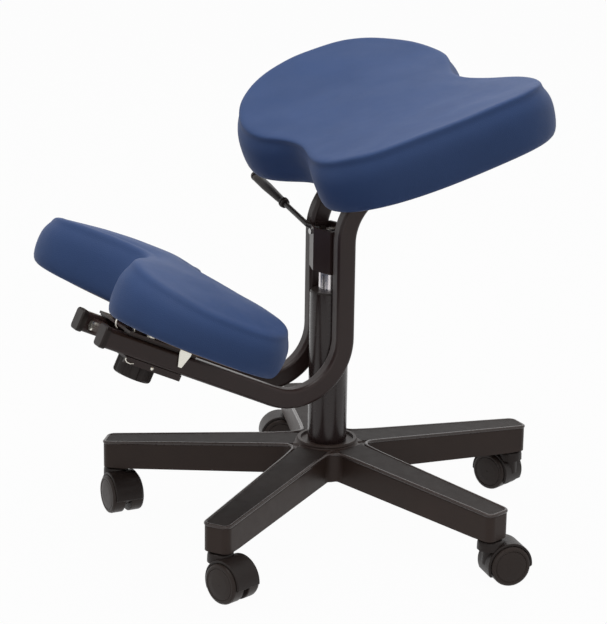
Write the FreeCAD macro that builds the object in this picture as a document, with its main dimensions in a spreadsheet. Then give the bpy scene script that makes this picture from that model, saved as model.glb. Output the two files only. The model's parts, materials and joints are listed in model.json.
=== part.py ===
import FreeCAD, Part
import math
import os
import Sketcher

# A kneeling chair on a five-star caster base. Millimetres, +Z up.
# The origin lies on the column's axis at floor level. The user faces -Y, with the left hand at +X.

DRIVING_SIZES = {
    # star base
    "arm_count": 5,
    "first_arm_angle": 18.7,
    "caster_circle": 280,
    "arm_past_stem": 14,
    "hub_sleeve": 6,
    "hub_wall": 4,
    "arm_root_half": 24.5,
    "arm_tip_half": 17.5,
    "base_low": 58.5,
    "arm_root_high": 112,
    "arm_root_low": 71,
    "arm_tip_high": 93,
    "base_skin": 4,
    "arm_tip_round": 9,
    "arm_edge_round": 5,
    "hub_half": 42,
    "hub_ring_outer": 38,
    "hub_ring_inner": 34,
    "hub_high": 115.5,
    "hub_ring_drop": 3,
    "socket_half": 12,
    # casters
    "stem_half": 5.5,
    "stem_flange_half": 9,
    "stem_flange_thick": 1.8,
    "stem_in_arm": 26,
    "stem_in_hood": 13.6,
    "wheel_half": 25,
    "wheel_inner": 4.2,
    "wheel_outer": 21.8,
    "wheel_trail": 20,
    "wheel_gap": 0.9,
    "hood_skin": 2.8,
    "hood_half_wide": 18,
    "hood_web_half": 3.6,
    "hood_low": 13,
    "hood_boss_half": 10,
    "hood_edge_round": 1.2,
    "axle_half": 3,
    "axle_half_long": 18,
    "turning_gap": 0.05,
    "resting_gap": 0.3,
    # column and gas lift
    "column_half": 25,
    "column_skin": 2,
    "column_low": 61.5,
    "column_high": 310.5,
    "column_floor": 3,
    "bush_long": 60,
    "bush_lip": 2,
    "cylinder_half": 14,
    "cylinder_bore": 12,
    "cylinder_low": 145,
    "cylinder_end": 4,
    "cylinder_top_plug": 33,
    "rod_half": 5,
    "rod_high": 263.5,
    "piston_thick": 16,
    "rod_collar_half": 9,
    "rod_collar_thick": 4,
    "bearing_thick": 3,
    "clip_thick": 1.4,
    "clip_half": 8,
    # side tubes
    "tube_wide": 20,
    "tube_deep": 25,
    "tube_skin": 2,
    "tube_round": 5,
    "tube_spacing": 78,
    "arm_tilt": 25,
    "arm_reach": 352,
    "lower_corner": 149.5,
    "lower_bend": 70,
    "seat_tilt": 16.8,
    "upper_corner": 433.5,
    "upper_bend": 70,
    "top_run": 214,
    "cap_thick": 7,
    "cap_proud": 1.4,
    "cap_plug": 12,
    "spacer_setback": 8,
    "spacer_deep": 13,
    "spacer_tall": 17,
    # column bracket and lever
    "bracket_low": 339.5,
    "bracket_high": 394.5,
    "bracket_side": 15,
    "bracket_nose": 24,
    "bracket_skin": 3,
    "socket_low": 343.5,
    "socket_high": 373.5,
    "button_half": 4,
    "button_proud": 7.2,
    "button_long": 30,
    "lever_half": 3.5,
    "pivot_offset": 12,
    "pivot_half": 2.5,
    "lever_front": 17,
    "lever_bend_reach": 30,
    "lever_reach": 190,
    "lever_gap": 0.8,
    "lever_slope": 11.2,
    "grip_long": 88,
    "grip_wide": 15,
    "grip_thick": 11,
    # seat
    "seat_half_wide": 241,
    "seat_front_long": 188,
    "seat_rear_long": 149.5,
    "seat_squareness": 2.55,
    "seat_centre": 120,
    "seat_front_notch": 48.6,
    "seat_rear_notch": 47.8,
    "seat_notch_wide": 72,
    "seat_thick": 66,
    "seat_dish": 27,
    "seat_flat": 40,
    "seat_lobe_lift": 8,
    "seat_crown": 5,
    "seat_top_round": 17,
    "seat_low_round": 10,
    "seat_side_bulge": 2.5,
    "seat_plate_half_wide": 75,
    "seat_plate_front": 66,
    "seat_plate_long": 130,
    "seat_plate_thick": 4,
    "seat_board_inset": 34,
    "board_thick": 8,
    "board_proud": 2,
    "board_gap": 0.05,
    # knee pads
    "knee_half_wide": 232,
    "knee_front_long": 130,
    "knee_rear_long": 127,
    "knee_squareness": 2.6,
    "knee_ahead": 8.2,
    "knee_front_notch": 81,
    "knee_rear_notch": 81,
    "knee_notch_wide": 81,
    "riser_high": 31.7,
    "knee_thick": 76,
    "knee_fall": 28,
    "knee_flat": 40,
    "knee_crown": 6,
    "knee_dish": 4.4,
    "knee_top_round": 16,
    "knee_low_round": 9,
    "knee_side_bulge": 2,
    "knee_board_inset": 30,
    # knee carriage and its clamp
    "glide_thick": 2,
    "slide_gap": 0.1,
    "carriage_setback": 72,
    "carriage_long": 98,
    "carriage_overhang": 0.8,
    "carriage_thick": 3,
    "ear_thick": 2,
    "ear_wide": 16,
    "ear_tip": 5,
    "ear_drop": 21,
    "ear_offset": 30,
    "riser_long": 76,
    "riser_skin": 3,
    "stud_half": 5,
    "stud_play": 1,
    "stud_head_half": 9,
    "stud_head_thick": 4,
    "clamp_half_wide": 46,
    "clamp_long": 80,
    "clamp_thick": 3,
    "clamp_lip": 5,
    "knob_half": 24.5,
    "knob_tall": 20,
    "knob_skin": 2.8,
    "knob_neck_half": 12,
    "knob_flutes": 8,
    "flute_half": 7,
    "flute_depth": 2.6,
    "insert_across": 15,
    "insert_tall": 10,
    # fasteners
    "bolt_half": 3,
    "bolt_head_half": 6,
    "bolt_head_thick": 4,
}

# The way each caster happens to point, as the angle of its wheels' trail, arm by arm from the first.
CASTER_YAWS = (81.7, 202.0, 250.0, 0.5, 20.0)

doc = FreeCAD.newDocument("kneeling_chair")
sheet = doc.addObject("Spreadsheet::Sheet", "sizes")
for row, (name, value) in enumerate(DRIVING_SIZES.items(), 1):
    sheet.set("A%d" % row, name)
    sheet.set("B%d" % row, str(value))
    sheet.setAlias("B%d" % row, name)
doc.recompute()


class Size:
    """A length or angle that knows both its number and the expression that binds it to the sheet."""

    def __init__(self, number, text):
        self.number = float(number)
        self.text = text

    def __float__(self):
        return self.number

    def __neg__(self):
        return Size(-self.number, "(-%s)" % self.text)

    def __add__(self, other):
        other = as_size(other)
        return Size(self.number + other.number, "(%s + %s)" % (self.text, other.text))

    def __sub__(self, other):
        other = as_size(other)
        return Size(self.number - other.number, "(%s - %s)" % (self.text, other.text))

    def __mul__(self, other):
        other = as_size(other)
        return Size(self.number * other.number, "(%s * %s)" % (self.text, other.text))

    def __truediv__(self, other):
        other = as_size(other)
        return Size(self.number / other.number, "(%s / %s)" % (self.text, other.text))


def as_size(value):
    return value if isinstance(value, Size) else Size(value, repr(float(value)))


def sine(angle):
    return Size(math.sin(math.radians(angle.number)), "sin(%s)" % angle.text)


def cosine(angle):
    return Size(math.cos(math.radians(angle.number)), "cos(%s)" % angle.text)


def tangent(angle):
    return Size(math.tan(math.radians(angle.number)), "tan(%s)" % angle.text)


class Sizes:
    """Every driving size by its own name."""


size = Sizes()
for name, value in DRIVING_SIZES.items():
    setattr(size, name, Size(value, "sizes." + name))
ZERO = as_size(0)


# Helpers for bodies, sketches and features

def bind(thing, prop, value):
    thing.setExpression(prop, as_size(value).text)


def new_body(label):
    body = doc.addObject("PartDesign::Body", label)
    body.Label = label
    return body


def origin_feature(body, role):
    return [feature for feature in body.Origin.OriginFeatures if feature.Role == role][0]


def new_sketch(body, role, lift=None, tilt=None, shift=None):
    """A sketch on one of the body's origin planes, lifted along its normal or tilted about its X."""
    sketch = body.newObject("Sketcher::SketchObject", body.Label + "_sketch")
    sketch.AttachmentSupport = [(origin_feature(body, role), "")]
    sketch.MapMode = "FlatFace"
    if tilt is not None:
        sketch.AttachmentOffset = FreeCAD.Placement(
            FreeCAD.Vector(), FreeCAD.Rotation(FreeCAD.Vector(1, 0, 0), tilt.number))
        bind(sketch, "AttachmentOffset.Rotation.Angle", tilt)
    if shift is not None:
        bind(sketch, "AttachmentOffset.Base.x", shift[0])
        bind(sketch, "AttachmentOffset.Base.y", shift[1])
    if lift is not None:
        bind(sketch, "AttachmentOffset.Base.z", lift)
    return sketch


def point(pair):
    return FreeCAD.Vector(float(pair[0]), float(pair[1]), 0)


def pin_down(sketch, geometry, end, pair):
    """Holds one end of a curve at a bound place."""
    for kind, value in (("DistanceX", pair[0]), ("DistanceY", pair[1])):
        number = float(as_size(value))
        index = sketch.addConstraint(Sketcher.Constraint(kind, -1, 1, geometry, end, number))
        bind(sketch, "Constraints[%d]" % index, value)


def add_polygon(sketch, corners):
    first = sketch.GeometryCount
    count = len(corners)
    for i in range(count):
        line = Part.LineSegment(point(corners[i]), point(corners[(i + 1) % count]))
        sketch.addGeometry(line, False)
    for i in range(count):
        after = first + (i + 1) % count
        sketch.addConstraint(Sketcher.Constraint("Coincident", first + i, 2, after, 1))
    for i, corner in enumerate(corners):
        pin_down(sketch, first + i, 1, corner)


def add_circle(sketch, centre, radius):
    geometry = sketch.addGeometry(Part.Circle(point(centre), FreeCAD.Vector(0, 0, 1), float(radius)), False)
    pin_down(sketch, geometry, 3, centre)
    index = sketch.addConstraint(Sketcher.Constraint("Radius", geometry, float(radius)))
    bind(sketch, "Constraints[%d]" % index, radius)


def box_corners(low_x, high_x, low_y, high_y):
    return [(low_x, low_y), (high_x, low_y), (high_x, high_y), (low_x, high_y)]


def pad(body, sketch, length, both_ways=False, backwards=False):
    feature = body.newObject("PartDesign::Pad", body.Label + "_pad")
    feature.Profile = sketch
    feature.Midplane = both_ways
    feature.Reversed = backwards
    bind(feature, "Length", length)
    return feature


def pocket(body, sketch, length=None, both_ways=False, backwards=False):
    """Cuts through everything when no length is given."""
    feature = body.newObject("PartDesign::Pocket", body.Label + "_pocket")
    feature.Profile = sketch
    feature.Midplane = both_ways
    feature.Reversed = backwards
    if length is None:
        feature.Type = "ThroughAll"
    else:
        bind(feature, "Length", length)
    return feature


def cuts_something(body, before):
    """A cut that points the wrong way removes nothing, so its volume is compared."""
    doc.recompute()
    if body.Shape.Volume > before * 0.99999:
        raise RuntimeError("a cut in %s removed nothing" % body.Label)


def picked_edges(shape, wanted):
    return ["Edge%d" % (i + 1) for i, edge in enumerate(shape.Edges) if wanted(edge)]


def rounded(body, wanted, radius):
    """Rounds the edges of the body's last feature that the test picks."""
    doc.recompute()
    base = body.Tip
    feature = body.newObject("PartDesign::Fillet", body.Label + "_round")
    feature.Base = (base, picked_edges(base.Shape, wanted))
    bind(feature, "Radius", radius)
    return feature


def repeated(body, originals, count, whole=False):
    """Turns features, or the whole body, about the body's Z axis."""
    feature = body.newObject("PartDesign::PolarPattern", body.Label + "_pattern")
    if whole:
        feature.TransformMode = "Whole shape"
    else:
        feature.Originals = originals
    feature.Axis = (origin_feature(body, "Z_Axis"), [""])
    feature.Angle = 360
    bind(feature, "Occurrences", count)
    body.Tip = feature
    return feature


def place(body, x=ZERO, y=ZERO, z=ZERO, axis=None, angle=None):
    if axis is not None:
        body.Placement = FreeCAD.Placement(
            FreeCAD.Vector(float(x), float(y), float(z)),
            FreeCAD.Rotation(FreeCAD.Vector(*axis), float(angle)))
        bind(body, "Placement.Rotation.Angle", angle)
    bind(body, "Placement.Base.x", x)
    bind(body, "Placement.Base.y", y)
    bind(body, "Placement.Base.z", z)


def on_arms(body):
    """Places a body in the arms' own frame: X across, -Y towards the front, Z square to the arms."""
    place(body, z=size.lower_corner, axis=(1, 0, 0), angle=-size.arm_tilt)


def under_seat(body):
    """Places a body in the seat's own frame: X across, Y towards the rear, Z square to the seat."""
    place(body, z=size.upper_corner, axis=(1, 0, 0), angle=size.seat_tilt)


def turned(label, profile):
    """A body turned about Z from corners given as (radius, height)."""
    body = new_body(label)
    sketch = new_sketch(body, "XZ_Plane")
    add_polygon(sketch, profile)
    feature = body.newObject("PartDesign::Revolution", label + "_turn")
    feature.Profile = sketch
    feature.ReferenceAxis = (sketch, ["V_Axis"])
    feature.Angle = 360
    return body


def padded(label, shapes, low, thick, role="XY_Plane", both_ways=False):
    """A body padded from polygons (lists) and circles (centre, radius) drawn on one plane."""
    body = new_body(label)
    sketch = new_sketch(body, role, lift=low)
    for shape in shapes:
        if isinstance(shape, list):
            add_polygon(sketch, shape)
        else:
            add_circle(sketch, shape[0], shape[1])
    pad(body, sketch, thick, both_ways)
    return body


def featured(label, shape):
    """A shape built directly, for forms that no sketch feature makes."""
    thing = doc.addObject("Part::Feature", label)
    thing.Label = label
    thing.Shape = shape
    return thing


# Sizes worked out from the driving ones

arm_end = size.caster_circle + size.arm_past_stem
tube_half_wide = size.tube_wide / 2
tube_half_deep = size.tube_deep / 2
tube_at = size.tube_spacing / 2
tube_inner = tube_at - tube_half_wide
tube_outer = tube_at + tube_half_wide
carriage_half_wide = tube_outer + size.carriage_overhang
hood_half = size.wheel_half + size.wheel_gap + size.hood_skin
stem_low = size.base_low - size.stem_flange_thick - size.stem_in_hood
hood_high = size.base_low - size.stem_flange_thick - size.resting_gap
button_high = size.socket_high + size.button_proud
plate_low = tube_half_deep + size.slide_gap + size.glide_thick
plate_high = plate_low + size.carriage_thick
carriage_centre = size.arm_reach - size.carriage_setback
carriage_front = -(carriage_centre + size.carriage_long / 2)
carriage_rear = -(carriage_centre - size.carriage_long / 2)
spacer_front = size.arm_reach - size.spacer_setback
clamp_high = -(tube_half_deep + size.resting_gap)
clamp_low = clamp_high - size.clamp_thick
knob_high = clamp_low - size.clamp_lip
knob_low = knob_high - size.knob_tall
stud_end = knob_low + size.knob_skin + size.stud_play
stud_bore = size.stud_half + size.turning_gap
seat_plate_high = tube_half_deep + size.seat_plate_thick
seat_low = seat_plate_high + size.board_gap + size.board_proud
knee_low = size.riser_high + size.board_gap + size.board_proud
riser_half_wide = tube_at - size.bolt_head_half - 1
arm_start = size.column_half
pin_slope = (size.bracket_nose - size.bracket_side) / tube_inner
pin_reach = size.bracket_nose - pin_slope * (size.pivot_offset - size.pivot_half * 1.5)


# Star base

def base_star():
    """A moulded star: sloping arms with an open, hollow underside, a hub sleeve and stem sockets."""
    body = new_body("base_star")
    plan = new_sketch(body, "XY_Plane", lift=size.base_low)
    add_polygon(plan, [(arm_start, -size.arm_root_half), (arm_end, -size.arm_tip_half),
                       (arm_end, size.arm_tip_half), (arm_start, size.arm_root_half)])
    pad(body, plan, size.arm_root_high - size.base_low)
    side = new_sketch(body, "XZ_Plane")
    over = size.arm_root_high + 5
    add_polygon(side, [(arm_start - 10, size.arm_root_high), (arm_end + 1, size.arm_tip_high),
                       (arm_end + 1, over), (arm_start - 10, over)])
    pocket(body, side, both_ways=True)
    under = new_sketch(body, "XZ_Plane")
    below = size.base_low - 5
    add_polygon(under, [(arm_start - 10, below), (size.caster_circle - size.socket_half, below),
                        (size.caster_circle - size.socket_half, size.base_low),
                        (size.hub_half, size.arm_root_low), (arm_start - 10, size.arm_root_low)])
    pocket(body, under, both_ways=True)
    near_end = float(arm_end) - 1
    rounded(body, lambda edge: edge.BoundBox.XMin > near_end and edge.BoundBox.ZLength > 5,
            size.arm_tip_round)
    above = float(size.arm_tip_high) - 2
    rounded(body, lambda edge: edge.BoundBox.ZMin > above and edge.BoundBox.YLength
            < float(size.arm_root_half) * 1.5 and edge.BoundBox.XMax > float(arm_start) + 5,
            size.arm_edge_round)
    hollow_end = size.caster_circle - size.socket_half
    ends = []
    for at, half, high in ((arm_start, size.arm_root_half, size.arm_root_high),
                           (hollow_end, size.arm_tip_half, size.arm_tip_high)):
        end = new_sketch(body, "YZ_Plane", lift=at)
        add_polygon(end, box_corners(size.base_skin - half, half - size.base_skin, size.base_low - 5,
                                     high - size.base_skin * 1.5))
        ends.append(end)
    doc.recompute()
    hollow = body.newObject("PartDesign::SubtractiveLoft", "base_star_hollow")
    hollow.Profile = ends[0]
    hollow.Sections = [ends[1]]
    hollow.Ruled = True
    bore = new_sketch(body, "XY_Plane", lift=size.base_low)
    add_circle(bore, (size.caster_circle, ZERO), size.stem_half)
    pocket(body, bore, size.stem_in_arm, backwards=True)
    doc.recompute()
    repeated(body, None, size.arm_count, whole=True)
    doc.recompute()
    hub = new_sketch(body, "XZ_Plane")
    ring_floor = size.hub_high - size.hub_ring_drop
    sleeve = size.column_half
    hub_roof = size.arm_root_high - size.base_skin * 1.5
    add_polygon(hub, [(sleeve, size.arm_root_low), (sleeve + size.hub_sleeve, size.arm_root_low),
                      (sleeve + size.hub_sleeve, hub_roof), (size.hub_half - size.hub_wall, hub_roof),
                      (size.hub_half - size.hub_wall, size.arm_root_low), (size.hub_half, size.arm_root_low),
                      (size.hub_half, size.arm_root_high - 4), (size.hub_half - 4, size.arm_root_high),
                      (size.hub_ring_outer + 1, size.arm_root_high + 1),
                      (size.hub_ring_outer, size.hub_high),
                      (size.hub_ring_inner, size.hub_high), (size.hub_ring_inner - 1, ring_floor),
                      (sleeve, ring_floor)])
    turn = body.newObject("PartDesign::Revolution", "base_star_hub")
    turn.Profile = hub
    turn.ReferenceAxis = (hub, ["V_Axis"])
    turn.Angle = 360
    through = new_sketch(body, "XY_Plane")
    add_circle(through, (ZERO, ZERO), sleeve)
    pocket(body, through, both_ways=True)
    place(body, axis=(0, 0, 1), angle=size.first_arm_angle)
    return body


def caster_place(index, out=None):
    """Where the stem of one caster stands."""
    out = size.caster_circle if out is None else out
    angle = size.first_arm_angle + as_size(360) / size.arm_count * index
    return out * cosine(angle), out * sine(angle)


def caster_stems():
    """Steel stems pressed into the arms; each hood turns on its lower end."""
    flange_low = size.base_low - size.stem_flange_thick
    body = new_body("caster_stems")
    lower = new_sketch(body, "XY_Plane", lift=stem_low)
    upper = new_sketch(body, "XY_Plane", lift=flange_low)
    middle = (size.caster_circle, ZERO)
    add_circle(lower, middle, size.stem_half)
    add_circle(upper, middle, size.stem_flange_half)
    pad(body, lower, size.stem_in_hood + size.stem_flange_thick + size.stem_in_arm)
    pad(body, upper, size.stem_flange_thick)
    doc.recompute()
    repeated(body, None, size.arm_count, whole=True)
    place(body, axis=(0, 0, 1), angle=size.first_arm_angle)
    return body


# Casters: local +X is the trail, local Y the axle, the stem stands at the local origin

def place_caster_piece(body, index):
    x, y = caster_place(index)
    place(body, x, y, axis=(0, 0, 1), angle=as_size(CASTER_YAWS[index]))


def caster_hood(index):
    body = new_body("caster_hood_%d" % (index + 1))
    axle = (size.wheel_trail, size.wheel_half)
    disc = new_sketch(body, "XZ_Plane")
    add_circle(disc, axle, hood_half)
    pad(body, disc, size.hood_half_wide * 2, both_ways=True)
    rounded(body, lambda edge: True, size.hood_edge_round)
    boss = new_sketch(body, "XY_Plane", lift=size.wheel_half)
    add_circle(boss, (ZERO, ZERO), size.hood_boss_half)
    pad(body, boss, hood_high - size.wheel_half)
    pocket_half = size.wheel_half + size.wheel_gap
    for side in (1, -1):
        wheel = new_sketch(body, "XZ_Plane", lift=size.hood_web_half * side)
        add_circle(wheel, axle, pocket_half)
        pocket(body, wheel, size.hood_half_wide, backwards=(side > 0))
    below = new_sketch(body, "XZ_Plane")
    reach = hood_half + 2
    add_polygon(below, [(size.wheel_trail - reach, size.hood_low), (size.wheel_trail - reach, as_size(-5)),
                        (size.wheel_trail + reach, as_size(-5)), (size.wheel_trail + reach, size.wheel_half),
                        (size.wheel_trail + size.wheel_half / 2, size.hood_low)])
    pocket(body, below, both_ways=True)
    socket = new_sketch(body, "XY_Plane", lift=stem_low - size.resting_gap)
    add_circle(socket, (ZERO, ZERO), size.stem_half + size.turning_gap)
    pocket(body, socket, size.base_low, backwards=True)
    spindle = new_sketch(body, "XZ_Plane")
    add_circle(spindle, axle, size.axle_half)
    pocket(body, spindle, both_ways=True)
    place_caster_piece(body, index)
    return body


def caster_axle(index):
    body = new_body("caster_axle_%d" % (index + 1))
    sketch = new_sketch(body, "XZ_Plane")
    add_circle(sketch, (size.wheel_trail, size.wheel_half), size.axle_half)
    pad(body, sketch, size.axle_half_long * 2, both_ways=True)
    place_caster_piece(body, index)
    return body


def caster_wheel(index, side, word):
    """A nylon wheel whose crowned outer face closes over the axle's end."""
    body = new_body("caster_wheel_%d_%s" % (index + 1, word))
    sketch = new_sketch(body, "XY_Plane", lift=size.wheel_half)
    bore = size.axle_half + size.turning_gap
    blind = size.axle_half_long + size.resting_gap
    radius = size.wheel_half
    trail = size.wheel_trail
    outline = [(0, blind), (bore, blind), (bore, size.wheel_inner), (radius - 1, size.wheel_inner),
               (radius, size.wheel_inner + 1), (radius, size.wheel_outer - 3.2),
               (radius - 0.8, size.wheel_outer - 1.2), (radius - 2.6, size.wheel_outer - 0.1),
               (radius - 4.6, size.wheel_outer), (radius - 5.4, size.wheel_outer - 0.7),
               (radius - 6.2, size.wheel_outer - 0.1), (radius / 2, size.wheel_outer + 0.5),
               (0, size.wheel_outer + 0.7)]
    add_polygon(sketch, [(trail + across, along * side if isinstance(along, Size) else along)
                         for across, along in outline])
    spin_axis = Part.LineSegment(point((trail, ZERO)), point((trail, size.wheel_outer)))
    axis_line = sketch.addGeometry(spin_axis, True)
    pin_down(sketch, axis_line, 1, (trail, ZERO))
    pin_down(sketch, axis_line, 2, (trail, size.wheel_outer))
    feature = body.newObject("PartDesign::Revolution", body.Label + "_turn")
    feature.Profile = sketch
    feature.ReferenceAxis = (sketch, ["Axis0"])
    feature.Angle = 360
    place_caster_piece(body, index)
    return body


# Column and gas lift

def column_tube():
    bore = size.column_half - size.column_skin
    hole = size.rod_half + size.turning_gap
    floor = size.column_low + size.column_floor
    return turned("column_tube", [
        (size.column_half, size.column_low), (size.column_half, size.column_high),
        (bore, size.column_high), (bore, floor), (hole, floor), (hole, size.column_low)])


def guide_bush():
    """The plastic sleeve in the mouth of the column that the chrome cylinder slides in."""
    bore = size.column_half - size.column_skin
    slide = size.cylinder_half + size.turning_gap
    low = size.column_high - size.bush_long
    high = size.column_high + size.bush_lip
    return turned("guide_bush", [
        (slide, low), (bore, low), (bore, size.column_high), (size.column_half - 0.6, size.column_high),
        (size.column_half - 1.6, high), (slide, high)])


def thrust_bearing():
    low = size.column_low + size.column_floor
    high = low + size.bearing_thick
    hole = size.rod_half + size.turning_gap
    return turned("thrust_bearing", [
        (hole, low), (size.rod_collar_half + 3, low), (size.rod_collar_half + 3, high), (hole, high)])


def piston_rod():
    collar_low = size.column_low + size.column_floor + size.bearing_thick + size.slide_gap
    collar_high = collar_low + size.rod_collar_thick
    piston_half = size.cylinder_bore - size.turning_gap
    low = size.column_low - size.clip_thick - size.slide_gap - 2
    return turned("piston_rod", [
        (ZERO, low), (size.rod_half, low), (size.rod_half, collar_low), (size.rod_collar_half, collar_low),
        (size.rod_collar_half, collar_high), (size.rod_half, collar_high),
        (size.rod_half, size.rod_high - size.piston_thick), (piston_half, size.rod_high - size.piston_thick),
        (piston_half, size.rod_high), (ZERO, size.rod_high)])


def rod_clip():
    high = size.column_low - size.slide_gap
    low = high - size.clip_thick
    return turned("rod_clip", [
        (size.rod_half, low), (size.clip_half, low), (size.clip_half, high), (size.rod_half, high)])


def gas_cylinder():
    low = size.cylinder_low
    bore = size.cylinder_bore
    plug = size.socket_high - size.cylinder_top_plug
    seal = size.rod_half + size.turning_gap
    valve = size.button_half + size.turning_gap
    return turned("gas_cylinder", [
        (seal, low), (size.cylinder_half - 1, low), (size.cylinder_half, low + 1),
        (size.cylinder_half, size.socket_high), (valve, size.socket_high), (valve, plug), (bore, plug),
        (bore, low + size.cylinder_end), (seal, low + size.cylinder_end)])


def release_button():
    return turned("release_button", [
        (ZERO, button_high - size.button_long), (size.button_half, button_high - size.button_long),
        (size.button_half, button_high - 1.5), (size.button_half - 1.5, button_high), (ZERO, button_high)])


# Side tubes with their caps and spacer

def tube_path(sketch):
    """Front end, lower bend, upright, upper bend, run under the seat, drawn as (Y, Z)."""
    turn_low = tangent((as_size(90) + size.arm_tilt) / 2) * size.lower_bend
    turn_high = tangent((as_size(90) - size.seat_tilt) / 2) * size.upper_bend
    arm_cos, arm_sin = cosine(size.arm_tilt), sine(size.arm_tilt)
    seat_cos, seat_sin = cosine(size.seat_tilt), sine(size.seat_tilt)

    def along_arm(reach):
        return -(reach * arm_cos), size.lower_corner + reach * arm_sin

    def along_seat(reach):
        return reach * seat_cos, size.upper_corner + reach * seat_sin

    stops = [along_arm(size.arm_reach), along_arm(turn_low), (ZERO, size.lower_corner + turn_low),
             (ZERO, size.upper_corner - turn_high), along_seat(turn_high), along_seat(size.top_run)]
    lines = []
    for i in (0, 2, 4):
        lines.append(sketch.addGeometry(Part.LineSegment(point(stops[i]), point(stops[i + 1])), False))
        pin_down(sketch, lines[-1], 1, stops[i])
        pin_down(sketch, lines[-1], 2, stops[i + 1])
    z_axis = FreeCAD.Vector(0, 0, 1)
    bends = (
        (size.lower_bend, (-size.lower_bend, stops[2][1]), -90 - size.arm_tilt.number, 0, (0, 1), (2, 1)),
        (size.upper_bend, (size.upper_bend, stops[3][1]), 90 + size.seat_tilt.number, 180, (2, 1), (1, 2)),
    )
    for radius, centre, start, end, joins, ends in bends:
        circle = Part.Circle(point(centre), z_axis, radius.number)
        arc = sketch.addGeometry(
            Part.ArcOfCircle(circle, math.radians(start), math.radians(end)), False)
        for which in (0, 1):
            sketch.addConstraint(Sketcher.Constraint("Coincident", arc, which + 1, lines[joins[which]],
                                                     ends[which]))
        index = sketch.addConstraint(Sketcher.Constraint("Radius", arc, radius.number))
        bind(sketch, "Constraints[%d]" % index, radius)


def side_tube(label, side):
    """One bent rectangular tube; left is side 1, right is side -1."""
    body = new_body(label)
    route = new_sketch(body, "YZ_Plane", lift=tube_at * side)
    tube_path(route)
    front_y = size.arm_reach * cosine(size.arm_tilt) * -1
    front_z = size.lower_corner + size.arm_reach * sine(size.arm_tilt)
    for inset, kind in ((ZERO, "PartDesign::AdditivePipe"), (size.tube_skin, "PartDesign::SubtractivePipe")):
        section = new_sketch(body, "XY_Plane", tilt=as_size(90) - size.arm_tilt, lift=front_z,
                             shift=(tube_at * side, front_y))
        wide = tube_half_wide - inset
        deep = tube_half_deep - inset
        add_polygon(section, box_corners(-wide, wide, -deep, deep))
        doc.recompute()
        pipe = body.newObject(kind, label + "_pipe")
        pipe.Profile = section
        pipe.Spine = (route, [])
        if not inset.number:
            doc.recompute()
            flat_x = [(tube_at * side - tube_half_wide).number, (tube_at * side + tube_half_wide).number]
            rounded(body, lambda edge: edge.BoundBox.XLength < 0.01
                    and min(abs(edge.BoundBox.XMin - x) for x in flat_x) < 0.01
                    and edge.Length > size.tube_deep.number + 1, size.tube_round)
    return body


def tube_caps(label, reach, sign, where):
    """Two plastic caps, one per tube, each with a plug inside the tube."""
    body = new_body(label)
    half_wide = tube_half_wide + size.cap_proud
    half_deep = tube_half_deep + size.cap_proud
    flat = new_sketch(body, "XZ_Plane", lift=reach * sign)
    for side in (-1, 1):
        middle = tube_at * side
        add_polygon(flat, box_corners(middle - half_wide, middle + half_wide, -half_deep, half_deep))
    outside = pad(body, flat, size.cap_thick, backwards=(sign < 0))
    rounded(body, lambda edge: edge.BoundBox.YLength > 1, size.tube_round)
    face = abs((reach + size.cap_thick).number)
    rounded(body, lambda edge: abs(abs(edge.BoundBox.YMin) - face) < 0.01
            and abs(abs(edge.BoundBox.YMax) - face) < 0.01, size.cap_thick / 3)
    plug = new_sketch(body, "XZ_Plane", lift=reach * sign)
    inner_wide = tube_half_wide - size.tube_skin
    inner_deep = tube_half_deep - size.tube_skin
    for side in (-1, 1):
        middle = tube_at * side
        add_polygon(plug, box_corners(middle - inner_wide, middle + inner_wide, -inner_deep, inner_deep))
    pad(body, plug, size.cap_plug, backwards=(sign > 0))
    where(body)
    return body


def front_spacer():
    """The block welded between the tubes' front ends."""
    body = padded("front_spacer", [box_corners(
        -tube_inner, tube_inner, -spacer_front, size.spacer_deep - spacer_front)],
        -size.spacer_tall / 2, size.spacer_tall)
    on_arms(body)
    return body


def spacer_bolts():
    """Two bolts in the spacer's front face."""
    body = new_body("spacer_bolts")
    head = new_sketch(body, "XZ_Plane", lift=spacer_front)
    for side in (-1, 1):
        add_circle(head, (tube_inner * side * 0.66, ZERO), size.bolt_head_half)
    pad(body, head, size.bolt_head_thick)
    on_arms(body)
    return body


# Bracket, cylinder socket and lever

def hexagon(side, nose, across):
    return [(-across, -side), (ZERO, -nose), (across, -side), (across, side), (ZERO, nose), (-across, side)]


def bracket_inside():
    """The inner outline of the folded bracket, one skin inside the outer one."""
    across = tube_inner - size.bracket_skin
    drop = size.bracket_skin * 1.03
    return hexagon(size.bracket_side + pin_slope * size.bracket_skin - drop, size.bracket_nose - drop,
                   across)


def lever_height(x):
    """Height of the lever's axis where it crosses the given place across the chair."""
    return lever_tip_height() - (x * tangent(size.lever_slope))


def lever_tip_height():
    return button_high + size.lever_gap + size.lever_half


def column_bracket():
    """Folded sheet welded between the tubes, open above and below, notched for the lever."""
    outer = hexagon(size.bracket_side, size.bracket_nose, tube_inner)
    body = padded("column_bracket", [outer, bracket_inside()], size.bracket_low,
                  size.bracket_high - size.bracket_low)
    notch_in = size.pivot_offset + size.pivot_half + size.lever_half
    notch = new_sketch(body, "XY_Plane", lift=lever_height(-notch_in) - size.lever_half * 1.6)
    add_polygon(notch, box_corners(-(tube_inner + 1), -notch_in, -(size.bracket_nose + 2),
                                   -(size.bracket_side - size.lever_half * 2)))
    doc.recompute()
    before = body.Shape.Volume
    pocket(body, notch, backwards=True)
    cuts_something(body, before)
    hole = new_sketch(body, "XZ_Plane")
    add_circle(hole, (-size.pivot_offset, lever_height(-size.pivot_offset)), size.pivot_half)
    pocket(body, hole, both_ways=True)
    return body


def cylinder_socket():
    """The block inside the bracket that the cylinder's top is pressed into."""
    return padded("cylinder_socket", [bracket_inside(), ((ZERO, ZERO), size.cylinder_half)],
                  size.socket_low, size.socket_high - size.socket_low)


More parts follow.
